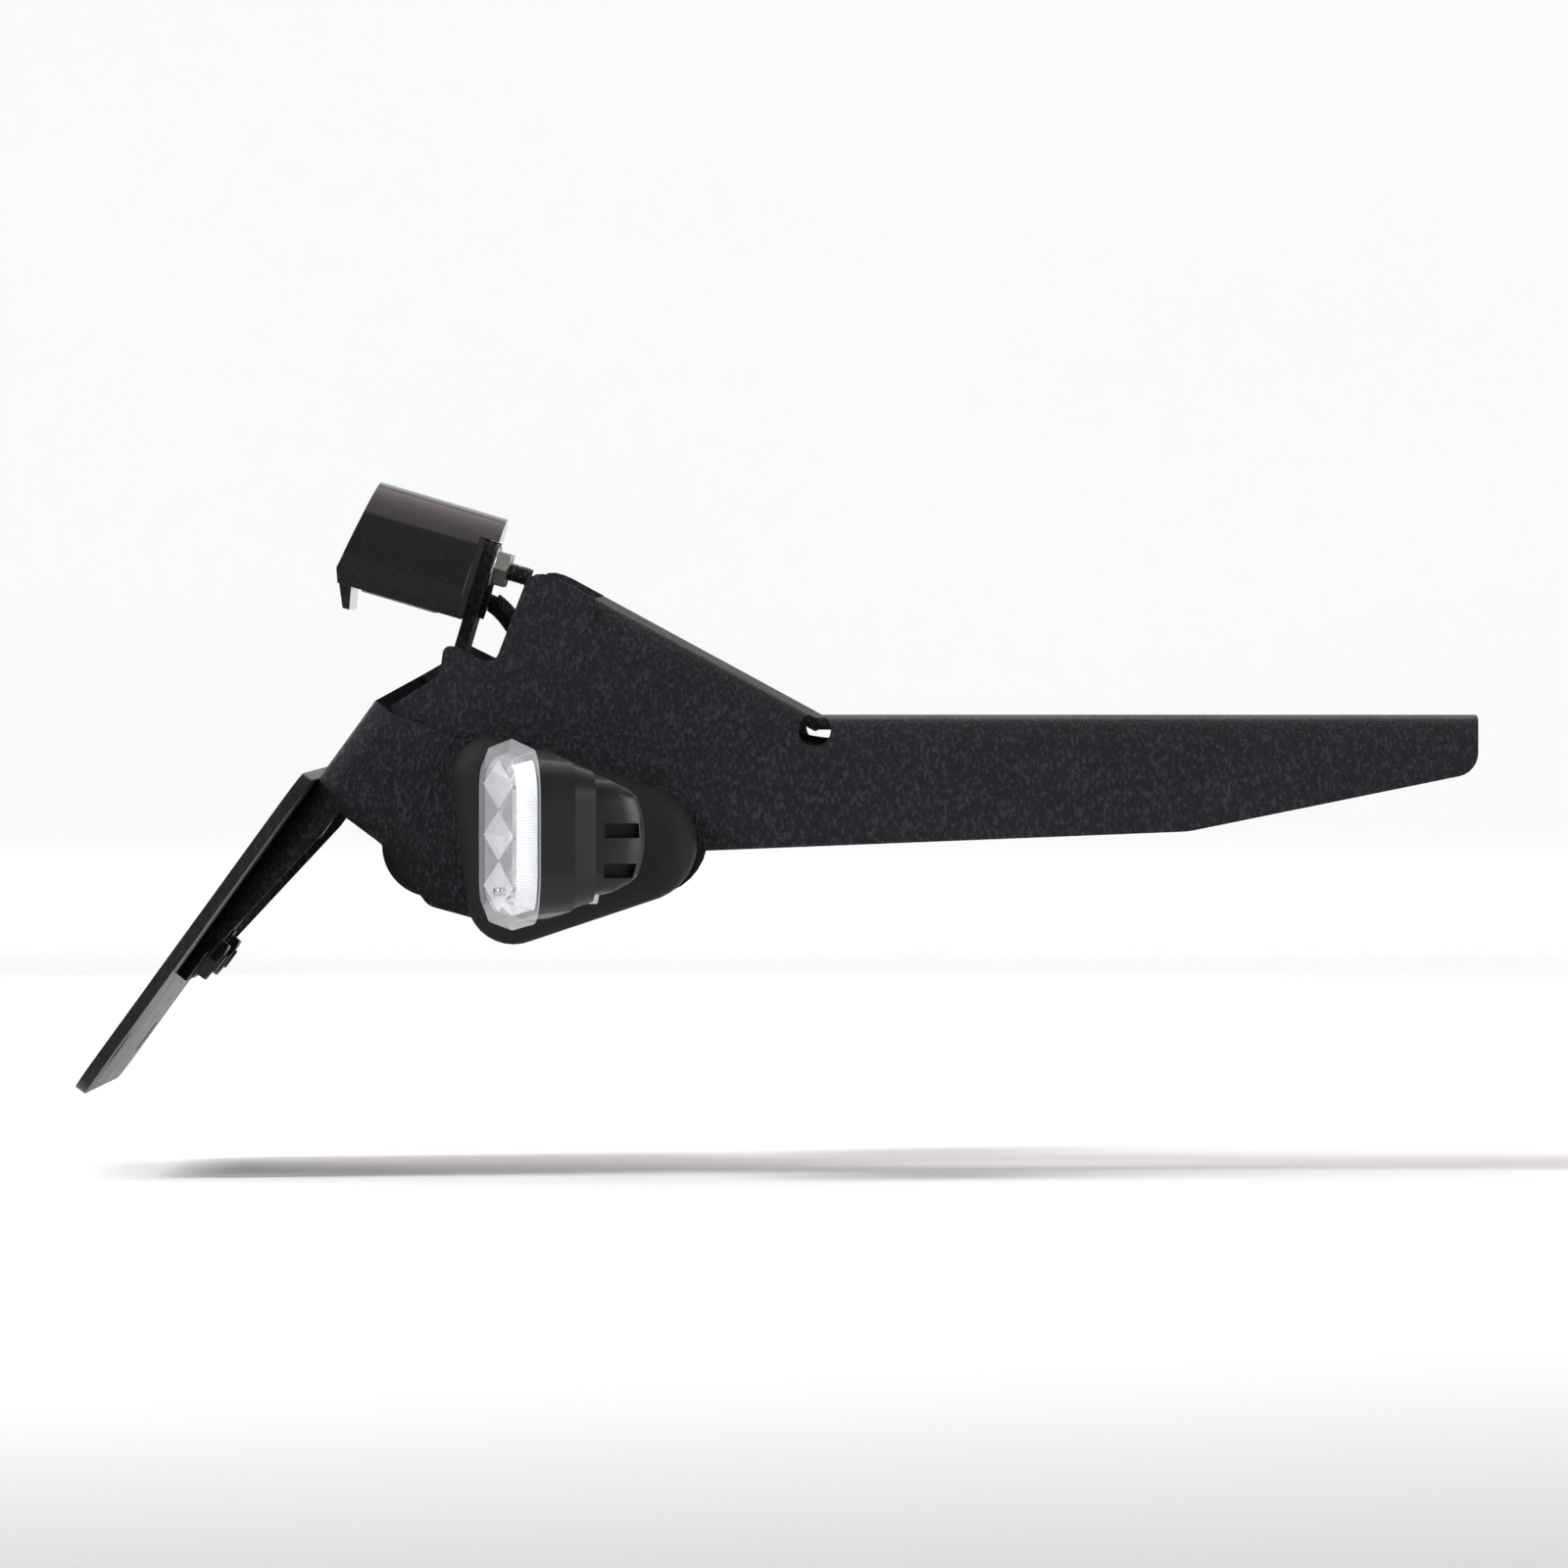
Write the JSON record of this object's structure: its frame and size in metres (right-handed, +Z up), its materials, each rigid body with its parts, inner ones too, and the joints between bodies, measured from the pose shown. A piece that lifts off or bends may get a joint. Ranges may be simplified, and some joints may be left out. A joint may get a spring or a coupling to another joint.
{
  "type": "motorcycle tail tidy",
  "caption": "Folded steel tail tidy arm that bolts under a motorcycle tail and carries a plate hanger, plate lamp and two indicators.",
  "frame": {"origin": "centre of the four deck bolt holes, on the upper face of the arm's level deck", "axes": "+X forward along the vehicle, +Y to its left, +Z up"},
  "size_m": [0.2315, 0.1884, 0.101],
  "materials": {
    "powder_coat": "fine wrinkle-textured black powder coat on folded steel",
    "carrier_coat": "smooth satin black powder coat on flat steel",
    "black_zinc": "black zinc-plated steel fasteners",
    "bright_zinc": "bright zinc-plated steel nuts and washers",
    "gloss_black": "glossy black moulded lamp housing",
    "lamp_clear": "clear ribbed lamp window",
    "board_green": "green circuit board",
    "led_yellow": "white light-emitting diodes with yellow phosphor",
    "black_rubber": "satin black moulded rubber",
    "lead_black": "black insulated lead and its sleeve",
    "black_moulding": "satin black moulded plastic",
    "clip_black": "black moulded clips and connector",
    "lens_clear": "clear moulded indicator lens",
    "reflector_chrome": "metallised faceted reflector",
    "bulb_silvered": "silver-coated bulb"
  },
  "bodies": {
    "root": {"arm": "powder_coat", "plate_hanger": "powder_coat", "cross_sleeve": "black_rubber", "plate_carrier": "carrier_coat", "carrier_screws": "black_zinc", "carrier_washers": "black_zinc", "carrier_nuts": "black_zinc", "lamp_housing": "gloss_black", "lamp_gasket": "black_rubber", "lamp_lens": "lamp_clear", "lamp_board": "board_green", "lamp_leds": "led_yellow", "lamp_screws": "black_zinc", "lamp_washers": "bright_zinc", "lamp_nuts": "bright_zinc", "lead_grommet": "black_rubber", "lamp_lead": "lead_black", "lead_sleeve": "lead_black", "lead_clips": "clip_black", "lead_connector": "clip_black", "right_base_gasket": "black_rubber", "right_base": "black_rubber", "right_base_screws": "black_zinc", "right_base_washers": "black_zinc", "right_housing": "black_moulding", "right_bulb_holder": "black_moulding", "right_reflector": "reflector_chrome", "right_bulb": "bulb_silvered", "right_lens": "lens_clear", "right_lens_screw": "bright_zinc", "left_base_gasket": "black_rubber", "left_base": "black_rubber", "left_base_screws": "black_zinc", "left_base_washers": "black_zinc", "left_housing": "black_moulding", "left_bulb_holder": "black_moulding", "left_reflector": "reflector_chrome", "left_bulb": "bulb_silvered", "left_lens": "lens_clear", "left_lens_screw": "bright_zinc"}
  },
  "joints": []
}
